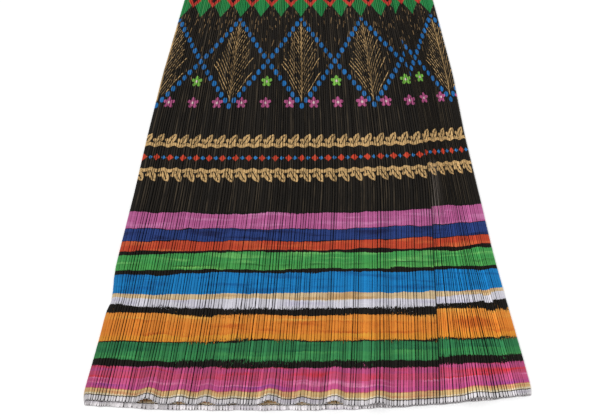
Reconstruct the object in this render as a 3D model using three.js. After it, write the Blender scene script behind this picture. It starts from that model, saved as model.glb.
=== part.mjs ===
// A finely pleated A-line skirt, laid flat on its back. Millimetres, +Z up, hem towards -Y, waist towards +Y.
// The skirt is a tube of two panels, folded flat at its left and right sides, with an elastic waistband on top.
// It was laid down turned a little, so one side seam shows on the upper layer, and the other is underneath.
import * as THREE from 'three';

// Lengths, measured from the lowest point of the hem.
const WAISTBAND_START = 845;
const SKIRT_LENGTH = 875;

// The cloth.
const UNDER_WALL = 1.2;
const UPPER_WALL = 1.7;
const LAYER_GAP = 0.4;
const SEAM_GAP = 0.3;
const FOLD_RADIUS = (UNDER_WALL + LAYER_GAP + UPPER_WALL) / 2;
const FOLD_STEPS = 6;

// The pleats of the upper layer, counted from the left fold: front panel, then the back panel's two groups.
const FRONT_PLEATS = 118;
const FAN_PLEATS = 16;
const SIDE_PLEATS = 10;
const SEAM_LINE = FRONT_PLEATS;
const FAN_LINE = SEAM_LINE + FAN_PLEATS;
const LAST_LINE = FAN_LINE + SIDE_PLEATS;
const CREST_AT = 0.64; // share of a pleat from its valley to its crest
const PLEAT_DEPTH_SHARE = 0.4; // pleat height over pleat width

// Where each end of a pleated width lies, from the skirt's middle line, at a length from the hem.
const OUTLINE = [
  { at: 0, left: -295, right: 292 },
  { at: 74, left: -284, right: 281 },
  { at: 160, left: -272, right: 267 },
  { at: 240, left: -262, right: 254.5 },
  { at: 341, left: -248, right: 242.5 },
  { at: 449, left: -235, right: 229 },
  { at: 564, left: -219.5, right: 219 },
  { at: 719, left: -193.5, right: 197 },
  { at: WAISTBAND_START, left: -172, right: 174 },
  { at: SKIRT_LENGTH, left: -170, right: 172 },
];

// How far across the width, from 0 at the left to 1, the side seam and the end of the fanned pleats lie. The pleats
// turn gently half way up, where the skirt was laid down turned.
const SEAM_COURSE = [
  { at: 0, seam: 0.789, fan: 0.947 },
  { at: 290, seam: 0.853, fan: 0.946 },
  { at: 350, seam: 0.863, fan: 0.946 },
  { at: 400, seam: 0.868, fan: 0.945 },
  { at: 450, seam: 0.867, fan: 0.944 },
  { at: 520, seam: 0.86, fan: 0.942 },
  { at: WAISTBAND_START, seam: 0.819, fan: 0.931 },
];

// The hem doesn't lie level: it bows up at both sides, and the upper layer is set back from the lower one.
const LEFT_BOW = { reach: 0.3, rise: 8 };
const RIGHT_BOW = { reach: 0.55, rise: 22 };
const BOW_FADES_FROM = 350;
const UPPER_HEM_SET_BACK = 7;

// A pinch in the left side, which fades over the first pleats.
const PINCH = [
  { at: 146, inward: 0 },
  { at: 166, inward: 3.5 },
  { at: 210, inward: 0 },
];
const PINCH_PLEATS = 5;

// Waves where the upper hem stands off the lower layer: the pleat line of the crest, its height, and its half width
// in pleats. WAVE_POINT is over 1, so that the waves are narrow at the top and run out gently.
const HEM_WAVES = [
  { line: 21.2, rise: 13.5, pleats: 4.9 },
  { line: 31.9, rise: 8, pleats: 4.4 },
  { line: 40.7, rise: 8.5, pleats: 4.4 },
  { line: 49.8, rise: 4.5, pleats: 3.6 },
  { line: 61.8, rise: 13.5, pleats: 5.2 },
  { line: 72.6, rise: 7.5, pleats: 4.4 },
  { line: 83.2, rise: 13, pleats: 5 },
  { line: 97.6, rise: 8.5, pleats: 5.4 },
  { line: 126.8, rise: 7, pleats: 5.4 },
];
const WAVE_POINT = 1.5;
const WAVE_LENGTH = 115;

// Levels of the loft, from the hem to the waistband, close together where the hem waves are.
const LEVELS = [0, 10, 24, 44, 80, 120, 158, 290, 400, 520, 711, WAISTBAND_START];

// The waistband: an elastic casing, gathered on its upper side.
const GATHERS = 40;
const GATHER_HEIGHT = 0.8;
const CASING_LEVELS = [WAISTBAND_START + SEAM_GAP, WAISTBAND_START + 6, SKIRT_LENGTH - 6, SKIRT_LENGTH];

// ---- reading the tables ----

function readTable(table, at, column) {
  const last = table.length - 1;
  if (at <= table[0].at) return table[0][column];
  if (at >= table[last].at) return table[last][column];
  const next = table.findIndex((row) => row.at > at);
  const low = table[next - 1];
  const high = table[next];
  return THREE.MathUtils.mapLinear(at, low.at, high.at, low[column], high[column]);
}

const leftEdge = (y) => readTable(OUTLINE, y, 'left');
const rightEdge = (y) => readTable(OUTLINE, y, 'right');
const acrossWidth = (share, y) => THREE.MathUtils.lerp(leftEdge(y), rightEdge(y), share);
const pinchAt = (y) => readTable(PINCH, y, 'inward');

// ---- the pleat lines ----

// Pleats differ a little in width. This gives where a line lies between the first and the last of its group.
function groupShares(first, count) {
  const ends = [0];
  for (let i = first; i < first + count; i += 1) {
    ends.push(ends[ends.length - 1] + 1 + 0.16 * Math.sin(2.4 * i) + 0.12 * Math.sin(1.1 * i + 0.7));
  }
  return ends.map((end) => end / ends[count]);
}

const GROUPS = [
  { first: 0, count: FRONT_PLEATS, shares: groupShares(0, FRONT_PLEATS) },
  { first: SEAM_LINE, count: FAN_PLEATS, shares: groupShares(SEAM_LINE, FAN_PLEATS) },
  { first: FAN_LINE, count: SIDE_PLEATS, shares: groupShares(FAN_LINE, SIDE_PLEATS) },
];

// The share of the skirt's width at which a pleat line lies. Lines may be fractions, such as a crest's.
function lineShare(line, y) {
  const bounds = [0, readTable(SEAM_COURSE, y, 'seam'), readTable(SEAM_COURSE, y, 'fan'), 1];
  const g = line < SEAM_LINE ? 0 : line < FAN_LINE ? 1 : 2;
  const { first, count, shares } = GROUPS[g];
  const step = Math.min(Math.floor(line - first), count - 1);
  const inGroup = THREE.MathUtils.lerp(shares[step], shares[step + 1], line - first - step);
  return THREE.MathUtils.lerp(bounds[g], bounds[g + 1], inGroup);
}

function lineX(line, y) {
  const flat = THREE.MathUtils.lerp(leftEdge(y) + FOLD_RADIUS, rightEdge(y) - FOLD_RADIUS, lineShare(line, y));
  return flat + pinchAt(y) * Math.exp(-line / PINCH_PLEATS);
}

// ---- how the layers lie ----

function bow(share, level) {
  const left = Math.max(0, 1 - share / LEFT_BOW.reach);
  const right = Math.max(0, 1 - (1 - share) / RIGHT_BOW.reach);
  const fade = Math.min(1, (WAISTBAND_START - level) / (WAISTBAND_START - BOW_FADES_FROM));
  return (LEFT_BOW.rise * left ** 2 + RIGHT_BOW.rise * right ** 2) * Math.max(0, fade);
}

const setBack = (level) => UPPER_HEM_SET_BACK * Math.max(0, 1 - level / WAISTBAND_START);

function waveRise(line, level) {
  const fade = Math.max(0, 1 - level / WAVE_LENGTH) ** 2;
  let rise = 0;
  for (const wave of HEM_WAVES) {
    const t = Math.abs(line - wave.line) / wave.pleats;
    if (t < 1) rise += wave.rise * ((1 + Math.cos(Math.PI * t)) / 2) ** WAVE_POINT;
  }
  return rise * fade;
}

// ---- points of the section at one level ----
// Each is a pair: the point on the outside of the cloth and the one behind it on the inside.

function underPair(share, level, shift = 0) {
  const y = level + bow(share, level);
  const lowest = leftEdge(y) + FOLD_RADIUS + pinchAt(y);
  const x = THREE.MathUtils.clamp(acrossWidth(share, y), lowest, rightEdge(y) - FOLD_RADIUS) + shift;
  return [new THREE.Vector3(x, y, 0), new THREE.Vector3(x, y, UNDER_WALL)];
}

// angle runs from -90 degrees, at the underside, to 90 at the top.
function foldPair(side, level, angle) {
  const share = side < 0 ? 0 : 1;
  const y = level + bow(share, level) + (setBack(level) * (1 + Math.sin(angle))) / 2;
  const centre = lineX(side < 0 ? 0 : LAST_LINE, y);
  const middle = UNDER_WALL + LAYER_GAP / 2;
  const pair = [
    { radius: FOLD_RADIUS, height: FOLD_RADIUS, z: FOLD_RADIUS },
    { radius: LAYER_GAP / 2, height: LAYER_GAP / 2, z: middle },
  ];
  return pair.map(
    (arc) =>
      new THREE.Vector3(
        centre + side * arc.radius * Math.cos(angle),
        y,
        arc.z + arc.height * Math.sin(angle),
      ),
  );
}

// height is that of the pleat over its valley. The pleats stand square to the wave that carries them.
function upperPair(line, level, height, shift = 0) {
  const y = level + bow(lineShare(line, level), level) + setBack(level);
  const x = lineX(line, y) + shift;
  const before = Math.max(0, line - 0.5);
  const after = Math.min(LAST_LINE, line + 0.5);
  const slope = (waveRise(after, level) - waveRise(before, level)) / (lineX(after, y) - lineX(before, y));
  const run = Math.hypot(1, slope);
  const bed = UNDER_WALL + LAYER_GAP + waveRise(line, level);
  const point = (out) => new THREE.Vector3(x - (slope / run) * out, y, bed + out / run);
  return [point(UPPER_WALL + height), point(height)];
}

function pleatHeight(line, level) {
  const width = lineX(Math.min(line + 1, LAST_LINE), level) - lineX(Math.min(line, LAST_LINE - 1), level);
  return PLEAT_DEPTH_SHARE * width * (1 + 0.2 * Math.sin(1.7 * line));
}

function pleatPairs(firstLine, lastLine, level, startShift, endShift) {
  const pairs = [];
  for (let line = firstLine; line < lastLine; line += 1) {
    const height = pleatHeight(line, level);
    pairs.push(upperPair(line, level, 0, line === firstLine ? startShift : 0));
    pairs.push(upperPair(line + CREST_AT, level, height));
  }
  return [pairs, upperPair(lastLine, level, 0, endShift)];
}

function foldAngles(from, to) {
  const steps = [];
  for (let i = 1; i < FOLD_STEPS; i += 1) {
    steps.push(THREE.MathUtils.degToRad(from + ((to - from) * i) / FOLD_STEPS));
  }
  return steps;
}

// ---- sections of the three pieces ----

const seamShareAt = (level) => lineShare(SEAM_LINE, level);

// From the seam underneath, round the left fold, to the seam on top.
function frontSection(level) {
  const hiddenSeam = 1 - seamShareAt(level);
  const under = [hiddenSeam, hiddenSeam / 2, 0].map((share, i) =>
    underPair(share, level, i === 0 ? -SEAM_GAP / 2 : 0),
  );
  const fold = foldAngles(-90, 90).map((angle) => foldPair(-1, level, angle));
  const [pleats, lastValley] = pleatPairs(0, SEAM_LINE, level, 0, -SEAM_GAP / 2);
  return [...under, ...fold, ...pleats, lastValley];
}

// From the seam on top, round the right fold, to the seam underneath.
function backSection(level) {
  const hiddenSeam = 1 - seamShareAt(level);
  const [pleats, lastValley] = pleatPairs(SEAM_LINE, LAST_LINE, level, SEAM_GAP / 2, 0);
  const fold = foldAngles(90, -90).map((angle) => foldPair(1, level, angle));
  const under = [1, 0.75, 0.5, hiddenSeam].map((share, i) => underPair(share, level, i === 3 ? SEAM_GAP / 2 : 0));
  return [...pleats, lastValley, ...fold, ...under];
}

// Once round, from the bottom of the left fold.
function casingSection(level) {
  const left = foldAngles(-90, 90).map((angle) => foldPair(-1, level, angle));
  const upper = [];
  for (let i = 0; i <= 2 * GATHERS; i += 1) {
    const height = i % 2 === 1 ? GATHER_HEIGHT : 0;
    upper.push(upperPair((LAST_LINE * i) / (2 * GATHERS), level, height));
  }
  const right = foldAngles(90, -90).map((angle) => foldPair(1, level, angle));
  const under = [1, 0.67, 0.33, 0].map((share) => underPair(share, level));
  return [...left, ...upper, ...right, ...under];
}

// ---- a wall lofted through sections ----

function loftWall(levels, sectionAt, closed) {
  const sections = levels.map(sectionAt);
  const across = sections[0].length;
  const positions = [];
  for (const section of sections) {
    for (const [outside, inside] of section) positions.push(...outside.toArray(), ...inside.toArray());
  }
  const outer = (row, i) => 2 * (row * across + (i % across));
  const inner = (row, i) => outer(row, i) + 1;
  const faces = [];
  const quad = (a, b, c, d) => faces.push(a, b, c, a, c, d);
  const steps = closed ? across : across - 1;
  for (let row = 0; row < levels.length - 1; row += 1) {
    for (let i = 0; i < steps; i += 1) {
      quad(outer(row, i), outer(row, i + 1), outer(row + 1, i + 1), outer(row + 1, i));
      quad(inner(row, i), inner(row + 1, i), inner(row + 1, i + 1), inner(row, i + 1));
    }
    if (!closed) {
      quad(outer(row, 0), outer(row + 1, 0), inner(row + 1, 0), inner(row, 0));
      quad(outer(row, steps), inner(row, steps), inner(row + 1, steps), outer(row + 1, steps));
    }
  }
  const top = levels.length - 1;
  for (let i = 0; i < steps; i += 1) {
    quad(outer(0, i), inner(0, i), inner(0, i + 1), outer(0, i + 1));
    quad(outer(top, i), outer(top, i + 1), inner(top, i + 1), inner(top, i));
  }
  const geometry = new THREE.BufferGeometry();
  geometry.setAttribute('position', new THREE.Float32BufferAttribute(positions, 3));
  geometry.setIndex(faces);
  geometry.computeVertexNormals();
  return geometry;
}

function piece(name, geometry, colour) {
  const material = new THREE.MeshStandardMaterial({ color: colour, roughness: 0.75, metalness: 0 });
  const mesh = new THREE.Mesh(geometry, material);
  mesh.name = name;
  return mesh;
}

const skirt = new THREE.Group();
skirt.add(piece('front_panel', loftWall(LEVELS, frontSection, false), 0x2a2622));
skirt.add(piece('back_panel', loftWall(LEVELS, backSection, false), 0x35302b));
skirt.add(piece('waistband', loftWall(CASING_LEVELS, casingSection, true), 0x1f1c1a));

// The origin is the middle of the bounding box, on the surface that the skirt lies on.
const box = new THREE.Box3().setFromObject(skirt);
const centre = box.getCenter(new THREE.Vector3());
skirt.position.set(-centre.x, -centre.y, -box.min.z);

export default skirt;
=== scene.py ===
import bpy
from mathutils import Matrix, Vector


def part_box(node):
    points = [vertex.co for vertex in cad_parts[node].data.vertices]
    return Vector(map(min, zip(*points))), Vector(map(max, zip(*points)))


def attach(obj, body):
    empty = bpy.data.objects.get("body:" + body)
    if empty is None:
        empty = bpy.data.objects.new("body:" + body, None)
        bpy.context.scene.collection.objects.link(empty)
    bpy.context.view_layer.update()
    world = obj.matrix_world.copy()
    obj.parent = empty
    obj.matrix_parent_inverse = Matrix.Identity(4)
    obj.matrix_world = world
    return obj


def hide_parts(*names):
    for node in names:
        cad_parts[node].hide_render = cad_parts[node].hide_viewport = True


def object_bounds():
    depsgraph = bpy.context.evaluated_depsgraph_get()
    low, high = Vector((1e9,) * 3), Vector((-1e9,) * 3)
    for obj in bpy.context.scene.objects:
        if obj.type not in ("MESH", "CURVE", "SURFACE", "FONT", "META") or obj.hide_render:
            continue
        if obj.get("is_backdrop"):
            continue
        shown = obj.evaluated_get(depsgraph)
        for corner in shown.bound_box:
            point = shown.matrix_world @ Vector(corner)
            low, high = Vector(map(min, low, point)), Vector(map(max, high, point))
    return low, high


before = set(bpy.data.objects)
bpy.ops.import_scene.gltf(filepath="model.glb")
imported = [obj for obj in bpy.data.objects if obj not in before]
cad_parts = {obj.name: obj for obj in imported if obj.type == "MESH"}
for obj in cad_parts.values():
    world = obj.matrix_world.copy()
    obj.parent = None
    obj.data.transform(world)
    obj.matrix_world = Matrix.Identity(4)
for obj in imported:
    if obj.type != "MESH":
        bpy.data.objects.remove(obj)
import inspect
import math
import bpy
import numpy as np
from mathutils import Vector

cad_low, cad_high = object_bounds()

# --------------------------------------------------------------------------------------------------
# How the skirt lies
# A tube of thin polyester in heat-set pleats, laid flat on its back and a little turned. Pleat
# lines are numbered round the tube: 0 is the left fold, 118 the side seam on top, 134 the end of
# the fanned pleats, 144 the right fold, and 262 (or -26) the other side seam, underneath. Lengths
# are millimetres from the hem's lowest point.
MM = 0.001
SEAM, FAN_END, RIGHT_FOLD = 118, 134, 144
HIDDEN_SEAM_LEFT, HIDDEN_SEAM_RIGHT = SEAM - RIGHT_FOLD, RIGHT_FOLD + SEAM
WAISTBAND_START, SKIRT_LENGTH = 845.0, 875.0
UNDER_WALL, LAYER_GAP, UPPER_WALL = 1.2, 0.4, 1.7
BED = UNDER_WALL + LAYER_GAP
FOLD_RADIUS = (BED + UPPER_WALL) / 2
CREST_SHARE = 0.4
OUTLINE = {
    "at": [0, 74, 160, 240, 341, 449, 564, 719, 845, 875],
    "left": [-295, -284, -272, -262, -248, -235, -219.5, -193.5, -172, -170],
    "right": [292, 281, 267, 254.5, 242.5, 229, 219, 197, 174, 172],
}
SEAM_COURSE = {
    "at": [0, 290, 350, 400, 450, 520, 845],
    "seam": [0.789, 0.853, 0.863, 0.868, 0.867, 0.86, 0.819],
    "fan": [0.947, 0.946, 0.946, 0.945, 0.944, 0.942, 0.931],
}
PINCH = {"at": [40, 110, 146, 166, 210], "inward": [0, 1.6, 1.6, 5.8, 0]}
PINCH_PLEATS = 5.0
LEFT_BOW_REACH, LEFT_BOW = 0.3, 8.0
RIGHT_BOW_REACH, RIGHT_BOW = 0.55, 22.0
BOW_FADES_FROM = 350.0
UPPER_SET_BACK = 7.0
SET_BACK_FADES = (0.52, 0.7)
HEM_WAVES = [
    {"line": 21.2, "rise": 13.5, "pleats": 4.9},
    {"line": 31.9, "rise": 8, "pleats": 4.4},
    {"line": 40.7, "rise": 8.5, "pleats": 4.4},
    {"line": 49.8, "rise": 4.5, "pleats": 3.6},
    {"line": 61.8, "rise": 13.5, "pleats": 5.2},
    {"line": 72.6, "rise": 7.5, "pleats": 4.4},
    {"line": 83.2, "rise": 13, "pleats": 5},
    {"line": 97.6, "rise": 8.5, "pleats": 5.4},
    {"line": 126.8, "rise": 7, "pleats": 5.4},
]
WAVE_POINT = 1.5
WAVE_LENGTH = 115.0
CORNER_TURNS_IN = {"left": 3.9, "right": 2.4}
CORNER_HEIGHT, CORNER_PLEATS = 18.0, 1.6
UNDER_HEM_UNEVEN = 1.5
UNDER_HEM_HEIGHT, UNDER_HEM_PLEATS = 40.0, 5.0
# The waistband's left end places these measures in the frame, whose origin is the middle of the
# whole skirt.
BAND_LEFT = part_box("waistband")[0].x
ORIGIN = Vector((BAND_LEFT - OUTLINE["left"][-2] * MM, cad_high.y - SKIRT_LENGTH * MM, 0.0))


def read_table(table, at, column):
    return np.interp(at, table["at"], table[column])


def group_shares(first, count):
    """Where the lines of a group of pleats lie between its ends. The pleats differ in width."""
    i = np.arange(first, first + count)
    widths = 1 + 0.16 * np.sin(2.4 * i) + 0.12 * np.sin(1.1 * i + 0.7)
    ends = np.concatenate([[0.0], np.cumsum(widths)])
    return ends / ends[-1]


FRONT_SHARES = group_shares(0, SEAM)
FAN_SHARES = group_shares(SEAM, FAN_END - SEAM)
SIDE_SHARES = group_shares(FAN_END, RIGHT_FOLD - FAN_END)


def upper_share(line, y):
    """The share of the width, from the left, at which a line of the upper layer lies."""
    seam, fan = read_table(SEAM_COURSE, y, "seam"), read_table(SEAM_COURSE, y, "fan")
    in_front = seam * np.interp(line, np.arange(SEAM + 1), FRONT_SHARES)
    in_fan = seam + (fan - seam) * np.interp(line, np.arange(SEAM, FAN_END + 1), FAN_SHARES)
    at_side = fan + (1 - fan) * np.interp(line, np.arange(FAN_END, RIGHT_FOLD + 1), SIDE_SHARES)
    return np.where(line < SEAM, in_front, np.where(line < FAN_END, in_fan, at_side))


def share_across(line, y):
    """The same for any line. Lines past a fold run back underneath."""
    left_under = 1 - upper_share(np.clip(line + RIGHT_FOLD, 0, RIGHT_FOLD), y)
    right_under = 1 - upper_share(np.clip(line - RIGHT_FOLD, 0, RIGHT_FOLD), y)
    on_top = upper_share(np.clip(line, 0, RIGHT_FOLD), y)
    return np.where(line < 0, left_under, np.where(line > RIGHT_FOLD, right_under, on_top))


def line_x(line, y):
    left = read_table(OUTLINE, y, "left") + FOLD_RADIUS
    right = read_table(OUTLINE, y, "right") - FOLD_RADIUS
    flat = left + (right - left) * share_across(line, y)
    return flat + read_table(PINCH, y, "inward") * np.exp(-np.abs(line) / PINCH_PLEATS)


def bow(share, level):
    """How far the hem and all above it bow up towards the sides."""
    left = np.maximum(0, 1 - share / LEFT_BOW_REACH)
    right = np.maximum(0, 1 - (1 - share) / RIGHT_BOW_REACH)
    fade = np.clip((WAISTBAND_START - level) / (WAISTBAND_START - BOW_FADES_FROM), 0, 1)
    return (LEFT_BOW * left**2 + RIGHT_BOW * right**2) * fade


def set_back(share, level):
    """How far the upper layer sits back. The lower one shows past its hem but at the right."""
    fade = np.interp(share, SET_BACK_FADES, [1.0, 0.1])
    return UPPER_SET_BACK * fade * np.clip(1 - level / WAISTBAND_START, 0, 1)


def wave_rise(line, level):
    """How far the waves of the upper hem lift the cloth off the lower layer."""
    rise = np.zeros(np.broadcast(line, level).shape)
    for wave in HEM_WAVES:
        t = np.clip(np.abs(line - wave["line"]) / wave["pleats"], 0, 1)
        rise = rise + wave["rise"] * ((1 + np.cos(np.pi * t)) / 2) ** WAVE_POINT
    return rise * np.maximum(0, 1 - level / WAVE_LENGTH) ** 2


def corner_turn(line, level):
    """How far to the right the hem's corners move, as both turn in."""
    left = CORNER_TURNS_IN["left"] * np.exp(-np.abs(line) / CORNER_PLEATS)
    right = CORNER_TURNS_IN["right"] * np.exp(-np.abs(line - RIGHT_FOLD) / CORNER_PLEATS)
    return (left - right) * np.maximum(0, 1 - level / CORNER_HEIGHT) ** 2


def under_hem_rise(line, level):
    """How far the lower hem's edge is drawn up, which differs along it."""
    from_fold = np.minimum(np.abs(line), np.abs(line - RIGHT_FOLD))
    uneven = (1 + 0.6 * np.sin(0.42 * line + 1.0) + 0.4 * np.sin(1.07 * line)) / 2
    fade = np.maximum(0, 1 - level / UNDER_HEM_HEIGHT) ** 2
    return UNDER_HEM_UNEVEN * uneven * np.clip(from_fold / UNDER_HEM_PLEATS, 0, 1) * fade


def on_top(line, level, out):
    """Points of the upper layer, out from its bed and square to the waves that carry the pleats."""
    share = share_across(line, level)
    y = level + bow(share, level) + set_back(share, level)
    x = line_x(line, y)
    before, after = np.clip(line - 0.5, 0, RIGHT_FOLD), np.clip(line + 0.5, 0, RIGHT_FOLD)
    rise = wave_rise(after, level) - wave_rise(before, level)
    slope = rise / (line_x(after, y) - line_x(before, y))
    run = np.hypot(1, slope)
    x = x + corner_turn(line, level)
    return np.stack([x - slope / run * out, y, BED + wave_rise(line, level) + out / run], axis=-1)


def underneath(line, level, height):
    """Points of the lower layer, height above the surface that it lies on."""
    y = level + bow(share_across(line, level), level) + under_hem_rise(line, level)
    return np.stack([line_x(line, y) + corner_turn(line, level), y, height + 0 * y], axis=-1)


def round_fold(side, level, angle, radius):
    """Points round the fold at one side, from underneath (-90 degrees) to the top (90 degrees)."""
    share = 0.0 if side < 0 else 1.0
    y = level + bow(share, level) + set_back(share, level) * (1 + np.sin(angle)) / 2
    line = np.full(y.shape, 0.0 if side < 0 else float(RIGHT_FOLD))
    x = line_x(line, y) + corner_turn(line, level) + side * radius * np.cos(angle)
    return np.stack([x, y, FOLD_RADIUS + radius * np.sin(angle) + 0 * y], axis=-1)


# --------------------------------------------------------------------------------------------------
# The front and back panels
# Thin polyester, pleated by heat. Each runs from a side seam round a side fold to the other seam,
# so part of each lies underneath. Creases differ in depth, come and go along their length, and
# stand open at the hem.
CLOTH = 0.3
PLEAT_ACROSS = np.array([0.0, 0.07, 0.19, 0.4, 0.64, 0.83, 0.94])
PLEAT_UP = np.array([0.0, 0.55, 0.92, 1.0, 0.93, 0.7, 0.36])
CREASE_DEPTH = 2.6
CREASES = {"depth": [1.1, 0.8, 0.52], "share": [0.28, 0.32, 0.4]}
CRUSHED_CREASES = {"depth": [2.0, 1.0, 0.5], "share": [0.3, 0.35, 0.35]}
CREASE_WANDER = 0.2
PLEAT_LEAN = 0.12
CREST_UNEVEN = 0.3
SHALLOWEST_CREASE = 0.12  # a share of CREASE_DEPTH
OPEN_HEM_LENGTH, OPEN_HEM = 22.0, 0.85
CREASE_OFF_BED = 0.12
FLAT_FOLD_PLEATS = 2.5
UNDER_ACROSS = np.array([0.0, 0.22, 0.5, 0.78])
UNDER_UP = np.array([1.0, 0.1, 0.0, 0.1])
UNDER_CREASE = 1.5
# How much painted shade the lower layer's creases take.
UNDER_CREASE_TINT = 0.55
CRUSHED_PLEATS = 24
SEAM_LAP = 1.0
FOLD_ANGLES = np.radians([-60, -30, 0, 30, 60])
# Rows of the cloth from the hem up, close together where it waves and where it is pinched.
LEVELS = np.concatenate([
    [0, 1.5, 3.5, 6, 9, 13, 18, 24, 31, 39, 48, 58, 69, 81, 94, 108, 123, 138, 152, 168, 188, 208],
    np.linspace(232, WAISTBAND_START - 0.5, 25),
])
chance = np.random.default_rng(11)
# The print isn't quite level with the hem: it bows less at the sides, and on the back panel it sits
# higher. These tables give by how much, in millimetres up the cloth or as a share of the bow.
PRINT_RISE = 2.3
PRINT_BOW = {"at": [150, 300], "share": [0.55, 0.2]}
BACK_PRINT = {
    "at": [20, 64, 98, 120, 143, 150, 168, 205, 240, 258, 277, 303],
    "drop": [0, 7.0, 0.5, 6, 9.5, 6.5, 0, 0, 1, 1, 3, 4],
}
LEFT_PRINT = {"at": [60, 97, 139, 149, 168, 250, 270, 300], "rise": [0, 6, -5, -2.5, 7, 6.5, 2.5, 3]}
RIGHT_PRINT_FROM = 0.88
RIGHT_PRINT = {"at": [120, 139, 149, 165], "rise": [0, -3, -6, 0]}
SLIPPED_PLEATS = (134, 138)
SLIPPED = {"at": [90, 135, 150, 163, 230], "rise": [1.0, 3.0, 6.0, 0.5, 0.0]}
PRINT_STAYS = {"share": [0.52, 0.7, 0.97], "drop": [0.0, 6.0, 0.0]}
PRINT_TRUE_BELOW, PRINT_SHIFTED_ABOVE = 12.0, 70.0


def print_height(line, level):
    """How high up the print a place on the cloth is."""
    share = share_across(line, level)
    shift = PRINT_RISE + read_table(PRINT_BOW, level, "share") * bow(share, level)
    shift = shift - np.where(line > SEAM, read_table(BACK_PRINT, level, "drop"), 0)
    stays = np.interp(share, PRINT_STAYS["share"], PRINT_STAYS["drop"])
    shift = shift - stays * (1 - level / WAISTBAND_START)
    at_left = np.clip(1 - share / LEFT_BOW_REACH, 0, 1)
    shift = shift + read_table(LEFT_PRINT, level, "rise") * at_left
    at_right = np.clip((share - RIGHT_PRINT_FROM) / (1 - RIGHT_PRINT_FROM), 0, 1)
    shift = shift + read_table(RIGHT_PRINT, level, "rise") * at_right
    in_slipped = (line >= SLIPPED_PLEATS[0]) & (line < SLIPPED_PLEATS[1])
    shift = shift + np.where(in_slipped, read_table(SLIPPED, level, "rise"), 0)
    fade = (level - PRINT_TRUE_BELOW) / (PRINT_SHIFTED_ABOVE - PRINT_TRUE_BELOW)
    return level + shift * np.clip(fade, 0, 1)


def slow_curves(count, spacing):
    """A slow random curve, from -1 to 1, for each of count pleats, with a row for each level."""
    knots = np.arange(-spacing, SKIRT_LENGTH + 2 * spacing, spacing)
    values = chance.uniform(-1, 1, (len(knots), count))
    return np.stack([np.interp(LEVELS, knots, values[:, i]) for i in range(count)], axis=1)


def spread(table, profile):
    """Values of each pleat repeated at each point of its profile, and the last value once more."""
    rows = table.shape[0]
    repeated = (table[:, :, None] + 0 * profile).reshape(rows, -1)
    return np.concatenate([repeated, table[:, -1:]], axis=1)


def pleats_on_top(first, last, count, crushed=False):
    """Pleats of the upper layer: their points, lines, print heights and depths in the creases."""
    rows = len(LEVELS)
    kinds = CRUSHED_CREASES if crushed else CREASES
    deep = chance.choice(kinds["depth"], count + 1, p=kinds["share"])
    depth = np.maximum(deep * (1 + 0.5 * slow_curves(count + 1, 80)), SHALLOWEST_CREASE)
    place = np.arange(count + 1) + CREASE_WANDER * (1 + crushed) * slow_curves(count + 1, 70)
    place = first + place * (last - first) / count
    place[:, 0], place[:, -1] = first, last
    lean = np.clip(chance.uniform(-1, 1, count) * 0.7 + 0.6 * slow_curves(count, 110), -1, 1)
    if crushed:
        lean[:] = -1.0
    across = PLEAT_ACROSS + PLEAT_LEAN * lean[:, :, None] * 4 * PLEAT_ACROSS * (1 - PLEAT_ACROSS)

    def between(table):
        inner = table[:, :-1, None] * (1 - across) + table[:, 1:, None] * across
        return np.concatenate([inner.reshape(rows, -1), table[:, -1:]], axis=1)

    line = np.clip(between(place), 0, RIGHT_FOLD)
    up = np.append(np.tile(PLEAT_UP, count), 0.0)[None, :]
    level = LEVELS[:, None] + 0 * line
    near = np.clip(line, 0.5, RIGHT_FOLD - 0.5)
    pleat_width = (line_x(near + 0.5, level) - line_x(near - 0.5, level)) * (last - first) / count
    at_edge = np.clip(np.minimum(line, RIGHT_FOLD - line) / FLAT_FOLD_PLEATS, 0, 1)
    crest = UPPER_WALL + CREST_SHARE * pleat_width * at_edge
    crest = crest + CREST_UNEVEN * at_edge * spread(slow_curves(count, 130), PLEAT_ACROSS)
    opened = OPEN_HEM * np.clip(1 - level / OPEN_HEM_LENGTH, 0, 1)
    most = crest - CLOTH - CREASE_OFF_BED
    fall = np.minimum(CREASE_DEPTH * between(depth), most)
    fall = (fall + (most - fall) * opened) * at_edge
    crease = (1 - up) * between(depth) * at_edge
    out = crest - (1 - up) * fall
    points = on_top(line, level, out)
    if last == SEAM:  # The front's edge laps over the first crease of the back.
        points[:, -1] = points[:, -2] + [SEAM_LAP, 0, -0.5]
    return points, line, print_height(line, level), crease


def pleats_underneath(first, last):
    """Pleats of the lower layer, pressed flat, with their creases standing up inside."""
    count = last - first
    line = np.append((np.arange(first, last)[:, None] + UNDER_ACROSS[None, :]).ravel(), last)
    up = np.append(np.tile(UNDER_UP, count), 1.0)
    up = up * np.append(np.repeat(chance.uniform(0.75, 1.0, count), len(UNDER_UP)), 1.0)
    from_fold = np.abs(line) if first < 0 else line - RIGHT_FOLD
    at_fold = np.clip(from_fold / 2, 0, 1)
    level = LEVELS[:, None] + 0 * line[None, :]
    line = line[None, :] + 0 * level
    height = (UNDER_CREASE * up * at_fold)[None, :] + 0 * level
    # Each crease of the lower layer takes painted shade, by a random amount for each pleat, seen as
    # dark ticks at the hem.
    stained = np.append(np.repeat(chance.uniform(0.3, 1.5, count), len(UNDER_UP)), 1.0)
    crease = UNDER_CREASE_TINT * (up * at_fold * stained)[None, :] + 0 * level
    return underneath(line, level, height), line, print_height(line, level), crease


def pleat_at_fold(side):
    angle = FOLD_ANGLES if side < 0 else FOLD_ANGLES[::-1]
    level = LEVELS[:, None] + 0 * angle[None, :]
    line = (0.0 if side < 0 else float(RIGHT_FOLD)) + 0 * level
    around = angle[None, :] + 0 * level
    return round_fold(side, level, around, FOLD_RADIUS), line, print_height(line, level), 0 * level


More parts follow.
